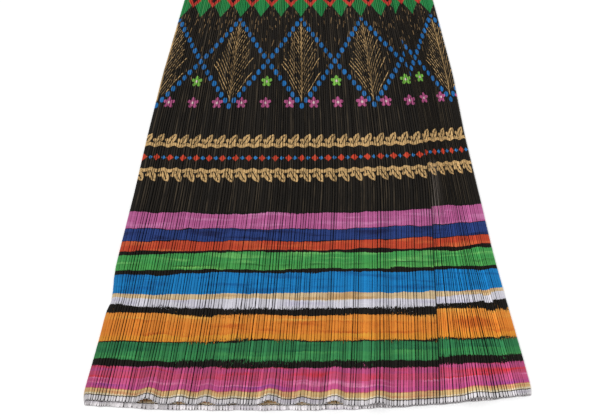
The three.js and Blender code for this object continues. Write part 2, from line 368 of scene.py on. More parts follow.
def new_piece(name, points, faces):
    """A smooth new mesh through points in millimetres."""
    mesh = bpy.data.meshes.new(name)
    mesh.from_pydata((points * MM + np.array(ORIGIN)).tolist(), [], faces)
    mesh.shade_smooth()
    mesh.update()
    piece = bpy.data.objects.new(name, mesh)
    bpy.context.scene.collection.objects.link(piece)
    return piece


# Where the outside and the inside of a sheet lie across its map for baking: starts and widths.
BAKE_STRIPS = ((0.005, 0.79), (0.81, 0.185))


def shell(name, outside, inside, closed, values):
    """A closed skin from a grid of outside points and the grid of inside points behind it. values
    are the grids of the line, the print height and the crease."""
    rows, across = outside.shape[:2]
    both = np.concatenate([outside.reshape(-1, 3), inside.reshape(-1, 3)])
    front_side = np.arange(rows * across).reshape(rows, across)
    if closed:
        front_side = np.concatenate([front_side, front_side[:, :1]], axis=1)
    rear_side = front_side + rows * across

    def quads(a, b, c, d):
        return np.stack([a.ravel(), b.ravel(), c.ravel(), d.ravel()], axis=1)

    o, i = front_side, rear_side
    faces = [
        quads(o[:-1, :-1], o[:-1, 1:], o[1:, 1:], o[1:, :-1]),
        quads(i[:-1, :-1], i[1:, :-1], i[1:, 1:], i[:-1, 1:]),
        quads(o[0, :-1], i[0, :-1], i[0, 1:], o[0, 1:]),
        quads(o[-1, :-1], o[-1, 1:], i[-1, 1:], i[-1, :-1]),
    ]
    inner_faces = range(len(faces[0]), len(faces[0]) + len(faces[1]))
    if not closed:
        faces.append(quads(o[:-1, 0], o[1:, 0], i[1:, 0], i[:-1, 0]))
        faces.append(quads(o[:-1, -1], i[:-1, -1], i[1:, -1], o[1:, -1]))
    faces = np.concatenate(faces)
    piece = new_piece(name, both, faces.tolist())
    mesh = piece.data
    corner = np.zeros(len(mesh.loops), int)
    mesh.loops.foreach_get("vertex_index", corner)
    line, printed, crease = (np.tile(grid.ravel(), 2) for grid in values)
    share = np.linspace(0, 1, across)[None, :] + np.zeros((rows, 1))
    height = np.linspace(0, 1, rows)[:, None] + np.zeros((1, across))
    bake_across = np.concatenate([start + width * share.ravel() for start, width in BAKE_STRIPS])
    bake_up = np.tile(0.005 + 0.99 * height.ravel(), 2)
    for map_name, u, v in (("ClothMap", line, printed), ("OFBake", bake_across, bake_up)):
        layer = mesh.uv_layers.new(name=map_name)
        places = np.stack([u[corner], v[corner]], axis=1)
        layer.data.foreach_set("uv", places.astype(np.float32).ravel())
    depths = mesh.attributes.new("crease", "FLOAT", "POINT")
    depths.data.foreach_set("value", crease.astype(np.float32))
    slots = np.zeros(len(faces), np.int32)
    slots[list(inner_faces)] = 1
    mesh.polygons.foreach_set("material_index", slots)
    mesh.update()
    return piece


def panel(name, runs):
    """A panel of thin cloth through runs of pleats, and the points of its hem's edge."""
    grids = (np.concatenate([run[k] for run in runs], axis=1) for k in range(4))
    points, line, printed, crease = grids
    normal = np.cross(np.gradient(points, axis=1), np.gradient(points, axis=0))
    normal /= np.maximum(np.linalg.norm(normal, axis=2, keepdims=True), 1e-9)
    inside = points - normal * CLOTH
    return shell(name, points, inside, False, (line, printed, crease)), (points[0] + inside[0]) / 2


front, front_edge = panel("front_cloth", [
    pleats_underneath(HIDDEN_SEAM_LEFT, 0),
    pleat_at_fold(-1),
    pleats_on_top(0, SEAM, SEAM),
])
back, back_edge = panel("back_cloth", [
    pleats_on_top(SEAM, FAN_END, CRUSHED_PLEATS, crushed=True),
    pleats_on_top(FAN_END, RIGHT_FOLD, RIGHT_FOLD - FAN_END),
    pleat_at_fold(1),
    pleats_underneath(RIGHT_FOLD, HIDDEN_SEAM_RIGHT),
])
for piece, node in ((front, "front_panel"), (back, "back_panel")):
    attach(piece, "root")
    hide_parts(node)

# --------------------------------------------------------------------------------------------------
# The print on the panels
# Bands of paint with brushed edges on a black ground, then a border of gold leaves, and above it a
# trellis of blue beads round gold ferns. The cloth is printed pleated, and painted shade darkens its
# creases. On the cloth's map, u is the pleat line and v the height up the print, in millimetres.
LINE_WIDTH = 4.0


def ink(red, green, blue):
    """A colour as it shows on a screen, from 0 to 255, as the shaders want it."""
    shares = [c / 255 for c in (red, green, blue)]
    straight = [c / 12.92 if c <= 0.04 else ((c + 0.055) / 1.055) ** 2.4 for c in shares]
    return (*straight, 1.0)


def sums(operation, turned=False):
    """A sum of two values as a shader node."""
    def made(this, other):
        return this.dye.math(operation, *((other, this) if turned else (this, other)))
    return made


class Value:
    """A node's output, which can be added to, multiplied and so on. Each sum is one more node."""

    __add__, __radd__ = sums("ADD"), sums("ADD", turned=True)
    __sub__, __rsub__ = sums("SUBTRACT"), sums("SUBTRACT", turned=True)
    __mul__, __rmul__ = sums("MULTIPLY"), sums("MULTIPLY", turned=True)
    __truediv__, __rtruediv__ = sums("DIVIDE"), sums("DIVIDE", turned=True)

    def __init__(self, dye, socket):
        self.dye, self.socket = dye, socket

    def __abs__(self):
        return self.dye.math("ABSOLUTE", self)


class Dye:
    """Adds nodes to one tree and links them. What it takes is a number, a colour or a Value."""

    def __init__(self, tree):
        self.tree = tree

    def add(self, kind, **settings):
        made = self.tree.nodes.new(kind)
        for name, value in settings.items():
            setattr(made, name, value)
        return made

    def feed(self, socket, value):
        if isinstance(value, Value):
            self.tree.links.new(value.socket, socket)
        else:
            socket.default_value = value

    def result(self, kind, values, output=0, **settings):
        """The output of a new node. values are for its inputs, in their order or by name."""
        made = self.add(kind, **settings)
        pairs = values.items() if isinstance(values, dict) else enumerate(values)
        for name, value in pairs:
            self.feed(made.inputs[name], value)
        return Value(self, made.outputs[output])

    def parts(self, vector):
        """A vector's three parts."""
        made = self.add("ShaderNodeSeparateXYZ")
        self.feed(made.inputs[0], vector)
        return [Value(self, part) for part in made.outputs]

    def math(self, operation, *values):
        return self.result("ShaderNodeMath", values, operation=operation)

    def ramp(self, value, start, end):
        """0 at start, 1 at end, smooth between them."""
        given = {"Value": value, "From Min": start, "From Max": end}
        return self.result("ShaderNodeMapRange", given, "Result", interpolation_type="SMOOTHSTEP")

    def noise(self, across, along, seed=0.0):
        """Smooth noise, about 0.25 to 0.75, one wave to a unit."""
        place = self.result("ShaderNodeCombineXYZ", (across, along, seed))
        given = {"Vector": place, "Scale": 1.0, "Detail": 2.0}
        return self.result("ShaderNodeTexNoise", given, "Fac")

    def swing(self, across, along, seed=0.0):
        """The same, about -1 to 1."""
        return (self.noise(across, along, seed) - 0.5) * 4.0

    def chance(self, value):
        """A different number, 0 to 1, for each whole value."""
        whole = self.math("FLOOR", value)
        return self.result("ShaderNodeTexWhiteNoise", {"W": whole}, "Value", noise_dimensions="1D")

    def blend(self, share, under, over, kind="MIX"):
        given = {0: share, 6: under, 7: over}
        return self.result("ShaderNodeMix", given, 2, data_type="RGBA", blend_type=kind)

    def shade(self, colour, amount):
        """The colour made lighter or darker by an amount."""
        grey = self.result("ShaderNodeCombineColor", (amount, amount, amount))
        return self.blend(1.0, colour, grey, "MULTIPLY")

    def length(self, x, y):
        return self.math("SQRT", x * x + y * y)

    def off_whole(self, value):
        """How far a value is from the nearest whole number."""
        return value - self.math("ROUND", value)

    def from_nearest(self, across, pitch, phase):
        """How far across from the nearest of a row of marks, one at each pitch."""
        return self.off_whole(across / pitch - phase) * pitch

    def use(self, tree, **values):
        """What comes out of a node group."""
        return self.result("ShaderNodeGroup", values, node_tree=tree)


COLOUR_INPUTS = ("under", "paint", "eye", "fern")


def group(result):
    """Turns the function under it into a node group with the function's name. What the function
    takes, after the nodes, are the group's inputs. What it gives, a Color or a Float, comes out."""
    def made(inside):
        tree = bpy.data.node_groups.new(inside.__name__, "ShaderNodeTree")
        for name in list(inspect.signature(inside).parameters)[1:]:
            kind = "NodeSocketColor" if name in COLOUR_INPUTS else "NodeSocketFloat"
            tree.interface.new_socket(name, in_out="INPUT", socket_type=kind)
        tree.interface.new_socket("result", in_out="OUTPUT", socket_type="NodeSocket" + result)
        n = Dye(tree)
        sockets = n.add("NodeGroupInput").outputs
        given = {socket.name: Value(n, socket) for socket in sockets if socket.name}
        drawn = inside(n, **given)
        n.feed(n.add("NodeGroupOutput").inputs[0], drawn)
        return tree
    return made


BLACK = ink(19, 14, 8)
GOLD = ink(202, 166, 112)
# The bands of paint, from the hem up: the heights of their edges, their paint and the strokes of
# another in it.
BANDS = [dict(zip(("from", "to", "paint", "streak"), row)) for row in (
    (0, 7.0, ink(210, 206, 208), ink(184, 178, 188)),
    (7.6, 9.9, ink(214, 200, 172), ink(206, 178, 140)),
    (10.6, 17.2, ink(208, 176, 122), ink(200, 140, 102)),
    (17.2, 18.6, ink(194, 112, 96), ink(178, 74, 92)),
    (18.6, 25.0, ink(188, 80, 132), ink(160, 74, 144)),
    (25.0, 35.0, ink(192, 82, 128), ink(216, 128, 166)),
    (35.0, 45.5, ink(188, 74, 108), ink(200, 56, 70)),
    (45.5, 54.0, ink(178, 74, 122), ink(196, 62, 84)),
    (64.5, 79.0, ink(50, 126, 72), ink(66, 142, 78)),
    (79.0, 94.0, ink(46, 118, 72), ink(30, 96, 60)),
    (96.0, 106.0, ink(214, 138, 46), ink(216, 152, 52)),
    (106.0, 125.0, ink(216, 130, 46), ink(190, 96, 32)),
    (125.0, 134.3, ink(216, 136, 52), ink(220, 160, 70)),
    (146.5, 160.6, ink(206, 204, 212), ink(190, 186, 204)),
    (160.6, 170.2, ink(206, 182, 142), ink(186, 148, 100)),
    (170.2, 203.5, ink(18, 120, 182), ink(14, 98, 158)),
    (208.5, 214.5, ink(68, 150, 74), ink(112, 184, 92)),
    (214.5, 219.0, ink(66, 148, 72), ink(18, 54, 30)),
    (219.0, 236.5, ink(62, 146, 74), ink(104, 178, 96)),
    (240.5, 255.0, ink(182, 66, 40), ink(200, 96, 54)),
    (256.8, 274.8, ink(36, 58, 116), ink(24, 34, 78)),
    (276.3, 303.0, ink(176, 90, 141), ink(194, 118, 164)),
)]
BANDS_TOP = 303.2
THINNEST_LINE = 0.3
SLOW_WANDER, QUICK_WANDER = 3.0, 1.1
FINE_HAIRS, ROUGH_HAIRS, ROUGH_BELOW = 0.4, 4.6, 150.0


def paint_ramp(n, share, column):
    """The colours of one column of BANDS at a share of their height, with bare cloth between."""
    made = n.add("ShaderNodeValToRGB")
    ramp = made.color_ramp
    ramp.interpolation = "CONSTANT"
    ramp.elements[0].position, ramp.elements[0].color = 0.0, BANDS[0][column]
    ramp.elements[1].position, ramp.elements[1].color = 1.0, BLACK
    for band, after in zip(BANDS, BANDS[1:] + [{"from": BANDS_TOP}]):
        if band["from"] > 0:
            ramp.elements.new(band["from"] / BANDS_TOP).color = band[column]
        if after["from"] - band["to"] > THINNEST_LINE:
            ramp.elements.new(band["to"] / BANDS_TOP).color = BLACK
    n.feed(made.inputs[0], share)
    return Value(n, made.outputs[0])


@group("Color")
def painted_bands(n, across, along):
    """The bands of BANDS, with wandering edges, hairs of the brush along them, and streaks."""
    steady = 0.16 + n.ramp(along, 10.0, 70.0) * 0.84
    slow = n.swing(across / 95.0, along / 12.0, 1.0) * SLOW_WANDER
    quick = n.swing(across / 26.0, along / 9.0, 2.0) * QUICK_WANDER
    patches = n.ramp(n.noise(across / 55.0, along / 18.0, 21.0), 0.42, 0.6)
    rough = n.ramp(along, ROUGH_BELOW + 15, ROUGH_BELOW) * (0.22 + patches * 0.78)
    roughness = FINE_HAIRS + rough * ROUGH_HAIRS
    hairs = n.swing(across / 0.9, along / 8.0, 3.0)
    hairs = hairs * (0.5 + abs(hairs)) * roughness
    height = along + (slow + (quick + hairs)) * steady
    share = height / BANDS_TOP
    slant = height + across * 0.02
    streaks = n.ramp(n.noise(across / 80.0, slant / 8.0, 4.0), 0.46, 0.72)
    bristles = n.noise(across / 30.0, slant / 1.4, 5.0)
    paint = n.blend(streaks, paint_ramp(n, share, "paint"), paint_ramp(n, share, "streak"))
    return n.shade(paint, 0.83 + bristles * 0.34)


@group("Color")
def lozenge_row(n, under, paint, across, along, height, pitch, phase, half):
    """A row of lozenges with soft corners."""
    x = abs(n.from_nearest(across, pitch, phase))
    y = abs(along - height)
    reach = x / half + y / half
    return n.blend(n.ramp(reach, 1.1, 0.85), under, paint)


GARLAND_PITCH = 21.0
STEM_WAVE, STEM_HALF_WIDTH = 1.6, 2.9
LEAF_LENGTH, LEAF_HALF_WIDTH, LEAF_LEAN = 24.0, 5.6, 60.0
BERRY_RADIUS, BERRY_HEIGHT, BERRY_PHASE = 2.8, 9.5, 0.56


@group("Color")
def leaf_garland(n, under, paint, across, along, height, way):
    """A waved stem with a slanting, veined leaf at each wave, and a berry between the leaves."""
    up = (along - height) * way
    wave = n.math("SINE", across * (2 * math.pi / GARLAND_PITCH)) * STEM_WAVE
    cover = n.ramp(abs(up - wave), STEM_HALF_WIDTH + 0.5, STEM_HALF_WIDTH - 0.5)
    c, s = math.cos(math.radians(LEAF_LEAN)), math.sin(math.radians(LEAF_LEAN))
    x = n.from_nearest(across, GARLAND_PITCH, 0.0) + LEAF_LENGTH * c / 2
    out = (x * c + up * s) / LEAF_LENGTH
    aside = abs(up * c - x * s)
    tip = 1.0 - n.math("POWER", abs(out * 2.0 - 1.0), 2.2)
    blade = n.ramp(tip * LEAF_HALF_WIDTH - aside, -0.4, 0.5)
    vein = n.math("MAXIMUM", n.ramp(aside, 0.5, 1.2), n.ramp(out, 0.75, 0.85))
    berry_x = n.from_nearest(across, GARLAND_PITCH, BERRY_PHASE)
    berry = n.length(berry_x, up - BERRY_HEIGHT)
    stalk = n.ramp(abs(berry_x), 1.3, 0.7) * (n.ramp(up, 0.0, 1.0) * n.ramp(up, 9.0, 8.0))
    for mark in (blade * vein, n.ramp(berry, BERRY_RADIUS + 0.5, BERRY_RADIUS - 0.4), stalk):
        cover = n.math("MAXIMUM", cover, mark)
    dry = n.ramp(n.noise(across / 2.2, along / 5.0), 0.32, 0.48)
    return n.blend(cover * (0.3 + dry * 0.7), under, paint)


@group("Color")
def flower_row(n, under, paint, eye, across, along, height, pitch, phase, radius):
    """A row of small five-petalled flowers with a pale eye."""
    x = n.from_nearest(across, pitch, phase)
    y = along - height
    out = n.length(x, y)
    petal = abs(n.math("COSINE", n.math("ARCTAN2", x, y) * 2.5))
    edge = radius * (0.45 + petal * 0.55)
    flower = n.blend(n.ramp(edge - out, -0.5, 0.7), under, paint)
    return n.blend(n.ramp(out, 3.0, 1.8), flower, eye)


FERN_REACH, FERN_LENGTH = 0.25, 0.43  # shares of the trellis's pitch and height
STROKE_PITCH, STROKE_SLANT, STROKE_CURL = 10.0, 2.4, 0.016
STROKE_HALF_WIDTH = 0.07  # a share of the pitch of the strokes
BEAD_RADIUS = 4.3


@group("Color")
def bead_trellis(n, under, paint, fern, across, along, height, pitch, tall, beads):
    """Blue beads in crossing slanted lines, which leave tall diamonds, with a gold fern in each."""
    flat = across / pitch
    up = (along - height) / tall
    within = n.ramp(up, -0.032, -0.028) * n.ramp(up, 1.02, 0.99)
    from_stem = n.from_nearest(across, pitch, 0.0)
    x = abs(from_stem)
    side = n.math("GREATER_THAN", from_stem, 0.0)
    y = along - height - tall * 0.5
    share = y / (tall * FERN_LENGTH)
    bend = x * STROKE_SLANT - x * x * STROKE_CURL
    strokes = (y - bend) / STROKE_PITCH + side * 0.4
    which = n.math("FLOOR", strokes) + side * 71.0
    frond = (1.0 - share * share) * (pitch * FERN_REACH) * (0.75 + n.chance(which + 0.5) * 0.5)
    middle = abs(n.math("FRACT", strokes) - 0.5)
    stroke = n.ramp(middle, STROKE_HALF_WIDTH + 0.08, STROKE_HALF_WIDTH)
    dashes = n.ramp(n.noise(x / 5.0, which * 1.7, 4.0), 0.36, 0.46)
    stem = n.ramp(x, 1.3, 0.6) * n.ramp(abs(share), 1.08, 1.0)
    drawn = n.math("MAXIMUM", stroke * dashes * n.ramp(frond - x, -0.4, 1.2), stem)
    gold = n.shade(fern, 0.3 + n.chance(which + 0.5) * 0.75)
    result = n.blend(drawn * within, under, gold)
    strings = 0.0
    leg = pitch * 0.76
    for this, other in ((flat + up, flat - up), (flat - up, flat + up)):
        aside = n.off_whole(this) * leg
        ahead = n.off_whole(other * beads) * (leg / beads)
        reach = n.length(aside, ahead)
        strings = n.math("MAXIMUM", n.ramp(reach, BEAD_RADIUS + 0.7, BEAD_RADIUS - 0.6), strings)
    return n.blend(strings * within, result, paint)


@group("Color")
def seed_strokes(n, under, paint, across, along, low, high, wide, tall):
    """Thin short strokes scattered on the ground, slanting either way, more of them higher up."""
    column = across / wide
    shifted = along / tall + n.chance(column) * 7.0
    pick = n.chance(n.math("FLOOR", column) * 17.0 + n.math("FLOOR", shifted) * 3.0)
    x = (n.math("FRACT", column) - 0.5) * wide
    y = (n.math("FRACT", shifted) - 0.5) * tall
    other = n.chance(pick * 991.0 + 3.0)
    lean = (other - 0.5) * 0.6
    aside = abs(x - (other - 0.5) * 3.0 - y * lean)
    half = tall * (0.16 + other * 0.3)
    mark = n.ramp(aside, 0.95, 0.45) * n.ramp(half - abs(y), -0.8, 0.6)
    level = (along - low) / (high - low)
    within = n.ramp(level, -0.02, 0.02) * n.ramp(level, 1.0, 0.98)
    chosen = n.math("LESS_THAN", pick, 0.08 + level * 0.5)
    return n.blend(mark * chosen * within, under, paint)


@group("Color")
def toothed_band(n, under, paint, across, along, low, high, pitch, depth):
    """A band whose lower edge is a row of pointed teeth."""
    tooth = abs(n.from_nearest(across, pitch, 0.0)) / (pitch * 0.5)
    lower = low + tooth * depth
    inside = n.math("MINIMUM", along - lower, high - along)
    return n.blend(n.ramp(inside, -0.5, 0.8), under, paint)


@group("Float")
def plain_weave(n, across, along, fine):
    """The height of a plain weave, for a bump, with so many fine threads to a unit."""
    turn = fine * (2 * math.pi)
    warp = n.math("SINE", across * turn)
    weft = n.math("SINE", along * turn)
    return warp * weft


# What is drawn over the bands, one motif after another. Heights are millimetres up the print.
BORDER_MIDDLE, BORDER_HALF, BORDER_PITCH = 402.0, 23.0, 22.0
TRELLIS_FOOT, TRELLIS_PITCH, TRELLIS_TALL = 500.0, 132.0, 176.0
TEETH_FROM, TEETH_TO, TEETH_PITCH = 680.0, 750.0, TRELLIS_PITCH / 3
BORDER_ROW = {"height": BORDER_MIDDLE, "pitch": BORDER_PITCH}
FLOWERS = {"eye": ink(214, 190, 190), "phase": 0.5, "radius": 11.0}
IN_TEETH = {"height": 716.0, "pitch": TEETH_PITCH, "phase": 0.5}
MOTIFS = [
    (leaf_garland, {"paint": GOLD, "height": BORDER_MIDDLE - BORDER_HALF, "way": -1.0}),
    (leaf_garland, {"paint": GOLD, "height": BORDER_MIDDLE + BORDER_HALF, "way": 1.0}),
    (lozenge_row, {"paint": ink(196, 64, 40), "phase": 0.0, "half": 6.2, **BORDER_ROW}),
    (lozenge_row, {"paint": ink(44, 120, 180), "phase": 0.5, "half": 3.8, **BORDER_ROW}),
    (seed_strokes, {"paint": ink(128, 102, 68), "low": TRELLIS_FOOT + 40, "high": TEETH_FROM + 20,
                    "wide": 6.5, "tall": 15.0}),
    (bead_trellis, {"paint": ink(26, 106, 170), "fern": GOLD, "height": TRELLIS_FOOT,
                    "pitch": TRELLIS_PITCH, "tall": TRELLIS_TALL, "beads": 8.0}),
    (flower_row, {"paint": ink(174, 82, 130), "height": 506.0, "pitch": TRELLIS_PITCH / 3, **FLOWERS}),
    (flower_row, {"paint": ink(118, 180, 70), "height": 548.0, "pitch": TRELLIS_PITCH, **FLOWERS}),
    (toothed_band, {"paint": ink(30, 128, 66), "low": TEETH_FROM, "high": TEETH_TO,
                    "pitch": TEETH_PITCH, "depth": 30.0}),
    (lozenge_row, {"paint": ink(192, 54, 44), "half": 15.0, **IN_TEETH}),
    (lozenge_row, {"paint": BLACK, "half": 6.0, **IN_TEETH}),
    (leaf_garland, {"paint": GOLD, "height": 790.0, "way": 1.0}),
]
BACK_STARTS_ACROSS = 230.0
PRINT_SLIP = 0.5  # how far the print of one pleat slips past the next
# How much more painted shade the creases take at the hem's edge, and the levels over which it comes
# in.
HEM_DIRT, HEM_DIRT_LEVELS = 1.3, (3.0, 0.8)
# Painted shade in the creases: how dark it gets, and the crease values where it starts and is full.
BARE_CREASE, BARE_FROM, BARE_TO = 0.93, 0.26, 0.6
# The tone of a pleat: the least that it is and the most that chance adds, and what the back and the
# lowest bands add to both. What the back adds is painted light: its pleats look lit brighter.
TONE, TONE_ON_BACK, TONE_LOW = (0.84, 0.26), (0.06, 0.18), (-0.11, 0.22)
LOW_BANDS = (100.0, 94.0)
# Painted highlight along some crests, as sheen: how strong it is and its colour.
RUBBED_CREST, RUBBED_INK = 0.15, ink(172, 150, 118)
FAN_PALE, FAN_INK = 0.36, ink(172, 160, 150)
FAN_BOTTOM, FAN_TOP = (262.0, 310.0), (394.0, 372.0)
SEAM_SHADE = 0.75
REVERSE_SHARE = 0.14
REVERSE_INK, HEM_REVERSE_SHARE, HEM_REVERSE_LIFT = ink(150, 112, 84), 0.03, 0.17
WHITE_HEM_TOP = (7.0, 9.0)


def start_finish(name, **shine):
    """A new material, its nodes and its shader's inputs, of which shine sets some."""
    made = bpy.data.materials.new(name)
    made.use_nodes = True
    inputs = made.node_tree.nodes["Principled BSDF"].inputs
    for socket, value in shine.items():
        inputs[socket.replace("_", " ")].default_value = value
    return made, Dye(made.node_tree), inputs


def add_bump(n, inputs, height, strength, distance):
    given = {"Height": height, "Strength": strength, "Distance": distance}
    n.feed(inputs["Normal"], n.result("ShaderNodeBump", given))


def painted_cloth(name, reverse_share):
    """The finish of the printed cloth. reverse_share is how much of the bare back shows in it."""
    made, n, inputs = start_finish(
        name, Roughness=0.6, Specular_IOR_Level=0.15, Sheen_Weight=0.02, Sheen_Roughness=0.5)
    line, level, _ = n.parts(n.result("ShaderNodeUVMap", (), uv_map="ClothMap"))
    crease = n.result("ShaderNodeAttribute", (), "Fac", attribute_name="crease")
    on_back = n.math("GREATER_THAN", line, SEAM)
    slip = (n.chance(line) - 0.5) * PRINT_SLIP
    spot = {"across": line * LINE_WIDTH + on_back * BACK_STARTS_ACROSS, "along": level + slip}
    colour = n.use(painted_bands, **spot)
    for motif, values in MOTIFS:
        colour = n.use(motif, under=colour, **values, **spot)
    # Painted shade deepens where a crease meets the hem's edge, where the open pleat ends lie in
    # shadow.
    crease = crease * (1.0 + n.ramp(level, *HEM_DIRT_LEVELS) * HEM_DIRT)
    # Painted shade darkens the creases, and each pleat takes the ink and rubs a little differently.
    bare = n.ramp(crease + n.swing(line * 3.0, level / 16.0, 5.0) * 0.22, BARE_FROM, BARE_TO)
    low = n.ramp(level, *LOW_BANDS)
    # Painted light: the back panel's pleats are made lighter, as if lit brighter.
    tones = zip(TONE, TONE_ON_BACK, TONE_LOW)
    least, most = (plain + on_back * back + low * lowest for plain, back, lowest in tones)
    tone = least + n.chance(line + 300.0) * most
    rubbed = 0.84 + n.noise(line * 4.0, level / 40.0, 9.0) * 0.32
    colour = n.shade(colour, tone * rubbed * (1.0 - bare * BARE_CREASE))
    # Painted highlight: some of the crests are painted pale, as sheen along them.
    crest = n.ramp(crease, 0.1, 0.02) * n.ramp(n.chance(line + 700.0), 0.0, 1.3)
    crest = crest * n.ramp(n.noise(line * 0.9, level / 45.0, 12.0), 0.34, 0.66)
    crest = crest * n.ramp(level, BANDS_TOP, BANDS_TOP + 6)
    colour = n.blend(crest * RUBBED_CREST, colour, RUBBED_INK)
    # The wide fanned pleats next to the seam lie open to the light and look paler.
    fanned = n.ramp(line, SEAM + 0.1, SEAM + 0.7) * n.ramp(line, SEAM + 8.0, SEAM + 2.0)
    fanned = fanned * (n.ramp(level, *FAN_TOP) * n.ramp(level, *FAN_BOTTOM))
    patchy = n.ramp(n.noise(line * 1.9, level / 160.0), 0.45, 0.6)
    colour = n.blend(fanned * (1.0 - bare) * patchy * FAN_PALE, colour, FAN_INK)
    # The seam is a dark line of painted shadow down the pleats, where the front laps over the back.
    at_seam = n.ramp(abs(line - SEAM), 0.45, 0.12) * n.ramp(level, 4.0, 12.0)
    colour = n.shade(colour, 1.0 - at_seam * SEAM_SHADE)
    if reverse_share:
        above_hem = n.ramp(level, *WHITE_HEM_TOP)
        shows = HEM_REVERSE_SHARE + above_hem * (reverse_share - HEM_REVERSE_SHARE)
        colour = n.blend(shows, colour, REVERSE_INK)
        in_hem = n.ramp(level, *reversed(WHITE_HEM_TOP))
        colour = n.shade(colour, 1.0 + in_hem * HEM_REVERSE_LIFT)
    n.feed(inputs["Base Color"], colour)
    weave = n.use(plain_weave, across=line * LINE_WIDTH, along=level, fine=2.5)
    add_bump(n, inputs, weave, 0.15, 0.0002)
    return made


face_of_cloth = painted_cloth("printed_pleats", 0.0)
back_of_cloth = painted_cloth("back_of_the_print", REVERSE_SHARE)
for piece in (front, back):
    piece.data.materials.append(face_of_cloth)
    piece.data.materials.append(back_of_cloth)

# --------------------------------------------------------------------------------------------------
# The hem
# A narrow rolled hem: the raw edge is turned under and sewn over with white thread, which leaves a
# fine cord that follows every pleat.
HEM_CORD_RADIUS = 0.32
HEM_CORD_SIDES = 6
HEM_THREAD = ink(182, 178, 180)
THREAD_TWIST = 1400.0  # turns in a metre


def thread_finish(name, colour, twist):
    """Sewing thread, with its twist as a bump."""
    made, n, inputs = start_finish(name, Roughness=0.55, Specular_IOR_Level=0.3)
    x, y, z = n.parts(n.result("ShaderNodeTexCoord", (), "Object"))
    twisted = n.math("SINE", (x + (y * 0.7 + z)) * (twist * 2 * math.pi))
    worn = n.noise(x * 400.0, y * 400.0, 2.0)
    # The twist also lightens and darkens the colour a little: painted shade along the plies.
    n.feed(inputs["Base Color"], n.shade(colour, 0.82 + (worn * 0.3 + twisted * 0.06)))
    add_bump(n, inputs, twisted, 0.5, 0.0001)
    return made


def tube_faces(start, rings, sides):
    """The faces of a closed tube through rings of points, of which start is the first."""
    faces = []
    for ring in range(start, start + (rings - 1) * sides, sides):
        for k in range(sides):
            after = (k + 1) % sides
            faces.append((ring + k, ring + after, ring + sides + after, ring + sides + k))
    last = start + (rings - 1) * sides
    faces.append(tuple(range(start + sides - 1, start - 1, -1)))
    faces.append(tuple(range(last, last + sides)))
    return faces


def cord_along(name, route, radius, sides):
    """A cord through points that run across the skirt, its rings square to the way that it runs."""
    route = route.copy()
    route[:, 2] = np.maximum(route[:, 2], radius)
    ahead = np.gradient(route, axis=0)
    ahead /= np.linalg.norm(ahead, axis=1, keepdims=True)
    up_cloth = np.array([0.0, 1.0, 0.0])
    aside = np.cross(ahead, up_cloth)
    aside /= np.linalg.norm(aside, axis=1, keepdims=True)
    turns = 2 * np.pi * np.arange(sides) / sides
    rings = [route + radius * (np.cos(a) * up_cloth + np.sin(a) * aside) for a in turns]
    points = np.stack(rings, axis=1).reshape(-1, 3)
    return new_piece(name, points, tube_faces(0, len(route), sides))


hem_thread = thread_finish("hem_thread", HEM_THREAD, THREAD_TWIST)
front_hem = cord_along("front_hem", front_edge, HEM_CORD_RADIUS, HEM_CORD_SIDES)
back_hem = cord_along("back_hem", back_edge, HEM_CORD_RADIUS, HEM_CORD_SIDES)
for piece in (front_hem, back_hem):
    piece.data.materials.append(hem_thread)
    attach(piece, "root")

# --------------------------------------------------------------------------------------------------
# The waistband
# A casing of plain black polyester, folded double over a wide elastic, which gathers it. Two rows
# of stitches hold the elastic, one near the top and one at the join with the pleats.
BAND_ROWS = [
    845.3, 845.9, 847.2, 848.6, 849.4, 850.2, 852.5, 856.5, 860.5,
    864.5, 868.0, 869.8, 870.6, 871.4, 872.8, 874.2, 874.8, 875.0,
]
STITCH_ROWS = (849.4, 870.6)
STITCH_DIP, STITCH_DIP_REACH = 0.45, 1.6
ROUND_EDGE = 1.2
BLACK_CLOTH, BLACK_THREAD = ink(40, 37, 34), ink(62, 58, 54)
GATHERS = 84
GATHER_RISE = 1.15
GATHER_POINTS, UNDER_POINTS = 5, 60
BAND_FOLD_ANGLES = np.radians(np.linspace(-75, 75, 7))
FLAT_SHADE = 0.3  # how much of a valley's shade the ungathered sides have
gather_ends = np.concatenate([[0.0], np.cumsum(chance.uniform(0.6, 1.4, GATHERS))])
gather_ends *= RIGHT_FOLD / gather_ends[-1]
gather_sizes = chance.uniform(0.45, 1.0, GATHERS)
gather_drift = chance.uniform(-0.35, 0.35, GATHERS + 1)


def band_edge(level):
    """0 at the band's own edges, 1 inside them, round between."""
    near = np.minimum(level - BAND_ROWS[0], SKIRT_LENGTH - level) / ROUND_EDGE
    return np.sqrt(np.clip(1 - (1 - np.clip(near, 0, 1)) ** 2, 0, 1))


def stitch_dip(level):
    dip = 0 * level
    for row in STITCH_ROWS:
        dip = dip + STITCH_DIP * np.exp(-((level - row) / STITCH_DIP_REACH) ** 2)
    return dip


def gather_height(line, level):
    """How high each place of a row at one level is on its gather, 0 to 1, and which gather it is."""
    bulge = np.sin(np.pi * (level - BAND_ROWS[0]) / (SKIRT_LENGTH - BAND_ROWS[0]))
    at = np.interp(line, gather_ends + gather_drift * bulge, np.arange(GATHERS + 1))
    which = np.clip(np.floor(at).astype(int), 0, GATHERS - 1)
    return np.clip(np.sin(np.pi * np.clip(at - which, 0, 1)), 0, 1) ** 0.8, which


def band_out(line, level):
    """How far the casing's outside stands over its bed, on top. line is a row at one level."""
    height, which = gather_height(line, level)
    ridge = height * gather_sizes[which] * GATHER_RISE
    at_fold = np.clip(np.minimum(line, RIGHT_FOLD - line) / 2, 0, 1)
    full = UPPER_WALL + ridge * at_fold - stitch_dip(level)
    return full * (0.45 + 0.55 * band_edge(level))


